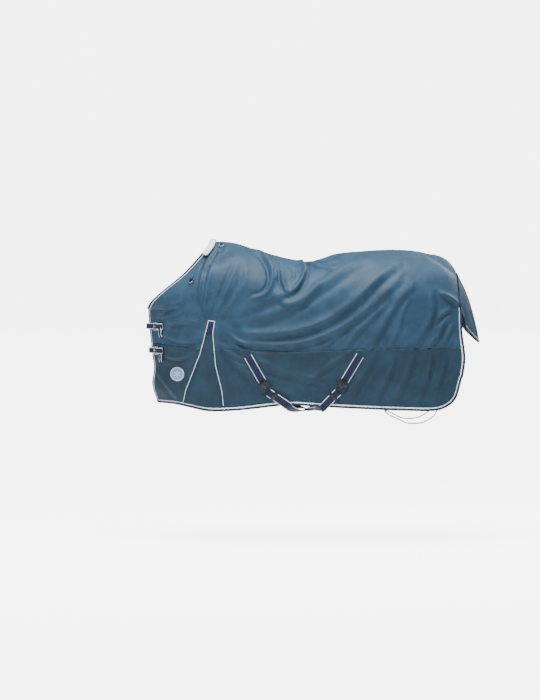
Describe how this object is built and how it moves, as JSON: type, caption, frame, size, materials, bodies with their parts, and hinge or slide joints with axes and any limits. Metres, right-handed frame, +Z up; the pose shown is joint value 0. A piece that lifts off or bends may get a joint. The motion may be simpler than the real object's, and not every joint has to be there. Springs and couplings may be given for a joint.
{
  "type": "turnout rug",
  "caption": "Turnout rug as worn: cut and seamed shell with lining, shoulder gussets, tail flap, breast buckles, crossed surcingles, rings and leg cords.",
  "frame": {"origin": "on the horse's back at the top of the withers, under the rug's front edge", "axes": "+X along the back to the tail, +Y to the off side, +Z up; the near side with the buckles is at -Y"},
  "size_m": [1.8609, 0.6825, 1.025],
  "materials": {
    "shell_cloth": "woven coated outer cloth",
    "skirt_cloth": "woven coated outer cloth, lower panels",
    "lining_cloth": "smooth woven lining",
    "piping": "corded piping",
    "binding": "woven binding tape",
    "fleece": "deep pile fleece",
    "badge": "embroidered patch",
    "leg_cord": "braided elastic cord",
    "steel": "polished nickel plate",
    "webbing": "ribbed webbing"
  },
  "bodies": {
    "rug": {"shell_upper_left": "shell_cloth", "shell_upper_right": "shell_cloth", "shell_front_lower_left": "skirt_cloth", "shell_front_lower_right": "skirt_cloth", "shell_gusset_left": "skirt_cloth", "shell_gusset_right": "skirt_cloth", "shell_side_lower_left": "skirt_cloth", "shell_side_lower_right": "skirt_cloth", "lining_left": "lining_cloth", "lining_right": "lining_cloth", "piping_edge_left": "piping", "piping_edge_right": "piping", "binding_edge_left": "binding", "binding_edge_right": "binding", "piping_gusset_left": "piping", "piping_gusset_right": "piping", "gusset_patch_left": "webbing", "gusset_patch_right": "webbing", "surcingle_upper_front_left": "webbing", "surcingle_upper_front_right": "webbing", "surcingle_upper_rear_left": "webbing", "surcingle_upper_rear_right": "webbing", "fleece_pad": "fleece", "surcingle_hook_front": "steel", "surcingle_hook_rear": "steel", "surcingle_eye_front": "steel", "surcingle_eye_rear": "steel", "surcingle_belly_front": "webbing", "surcingle_belly_rear": "webbing", "ring_tab_neck_left": "webbing", "ring_tab_neck_right": "webbing", "ring_tab_withers": "webbing", "buckle_tab_upper": "webbing", "buckle_tab_lower": "webbing", "buckle_frame_upper": "steel", "buckle_frame_lower": "steel", "breast_strap_upper": "webbing", "breast_strap_lower": "webbing", "badge": "badge", "leg_anchor_left": "webbing", "leg_anchor_right": "webbing", "leg_ring_tab_left": "webbing", "leg_ring_tab_right": "webbing", "leg_ring_left": "steel", "leg_ring_right": "steel"},
    "tail_flap": {"tail_flap": "shell_cloth", "binding_tail_flap": "binding"},
    "neck_ring_left": {"ring_neck_left": "steel"},
    "neck_ring_right": {"ring_neck_right": "steel"},
    "withers_ring": {"ring_withers": "steel"},
    "slide_front": {"surcingle_slide_front": "steel"},
    "slide_rear": {"surcingle_slide_rear": "steel"},
    "tongue_upper": {"buckle_tongue_upper": "steel"},
    "tongue_lower": {"buckle_tongue_lower": "steel"},
    "leg_cord_left": {"leg_cord_left": "leg_cord", "leg_snap_left": "steel"},
    "leg_cord_right": {"leg_cord_right": "leg_cord", "leg_snap_right": "steel"},
    "gate_left": {"leg_snap_gate_left": "steel"},
    "gate_right": {"leg_snap_gate_right": "steel"}
  },
  "joints": [
    {"name": "tail_flap_lift", "type": "hinge", "parent": "rug", "child": "tail_flap", "pos_m": [1.32969, 0, -0.14739], "axis": [0, -1, 0], "range_deg": [0, 65]},
    {"name": "neck_ring_left_swing", "type": "hinge", "parent": "rug", "child": "neck_ring_left", "pos_m": [-0.14969, -0.20921, -0.18765], "axis": [-0.8325, 0.3467, -0.4321], "range_deg": [0, 100]},
    {"name": "neck_ring_right_swing", "type": "hinge", "parent": "rug", "child": "neck_ring_right", "pos_m": [-0.14969, 0.20921, -0.18765], "axis": [0.8325, 0.3467, 0.4321], "range_deg": [0, 100]},
    {"name": "withers_ring_swing", "type": "hinge", "parent": "rug", "child": "withers_ring", "pos_m": [0.01508, -0.06761, 0.00763], "axis": [-0.9807, 0.1906, 0.0446], "range_deg": [0, 100]},
    {"name": "slide_front_travel", "type": "slide", "parent": "rug", "child": "slide_front", "axis": [0.8235, -0.0586, -0.5643], "range_m": [-0.006, 0.006]},
    {"name": "slide_rear_travel", "type": "slide", "parent": "rug", "child": "slide_rear", "axis": [-0.7016, -0.0014, -0.7126], "range_m": [-0.006, 0.006]},
    {"name": "tongue_upper_lift", "type": "hinge", "parent": "rug", "child": "tongue_upper", "pos_m": [-0.34083, -0.09359, -0.44747], "axis": [-0.0443, -0.0351, 0.9984], "range_deg": [0, 10]},
    {"name": "tongue_lower_lift", "type": "hinge", "parent": "rug", "child": "tongue_lower", "pos_m": [-0.34037, -0.07679, -0.5826], "axis": [-0.0734, -0.0548, 0.9958], "range_deg": [0, 10]},
    {"name": "leg_cord_left_swing", "type": "hinge", "parent": "rug", "child": "leg_cord_left", "pos_m": [1.21219, -0.27213, -0.79428], "axis": [0.984, 0.1155, 0.1355], "range_deg": [0, 25]},
    {"name": "gate_left_open", "type": "hinge", "parent": "leg_cord_left", "child": "gate_left", "pos_m": [1.21219, -0.26593, -0.80988], "axis": [1, 0, 0], "range_deg": [0, 18], "stiffness_Nm_per_rad": 0.02},
    {"name": "leg_cord_right_swing", "type": "hinge", "parent": "rug", "child": "leg_cord_right", "pos_m": [1.21219, 0.27213, -0.79428], "axis": [-0.984, 0.1155, -0.1355], "range_deg": [0, 25]},
    {"name": "gate_right_open", "type": "hinge", "parent": "leg_cord_right", "child": "gate_right", "pos_m": [1.21219, 0.26593, -0.80988], "axis": [-1, 0, 0], "range_deg": [0, 18], "stiffness_Nm_per_rad": 0.02}
  ]
}
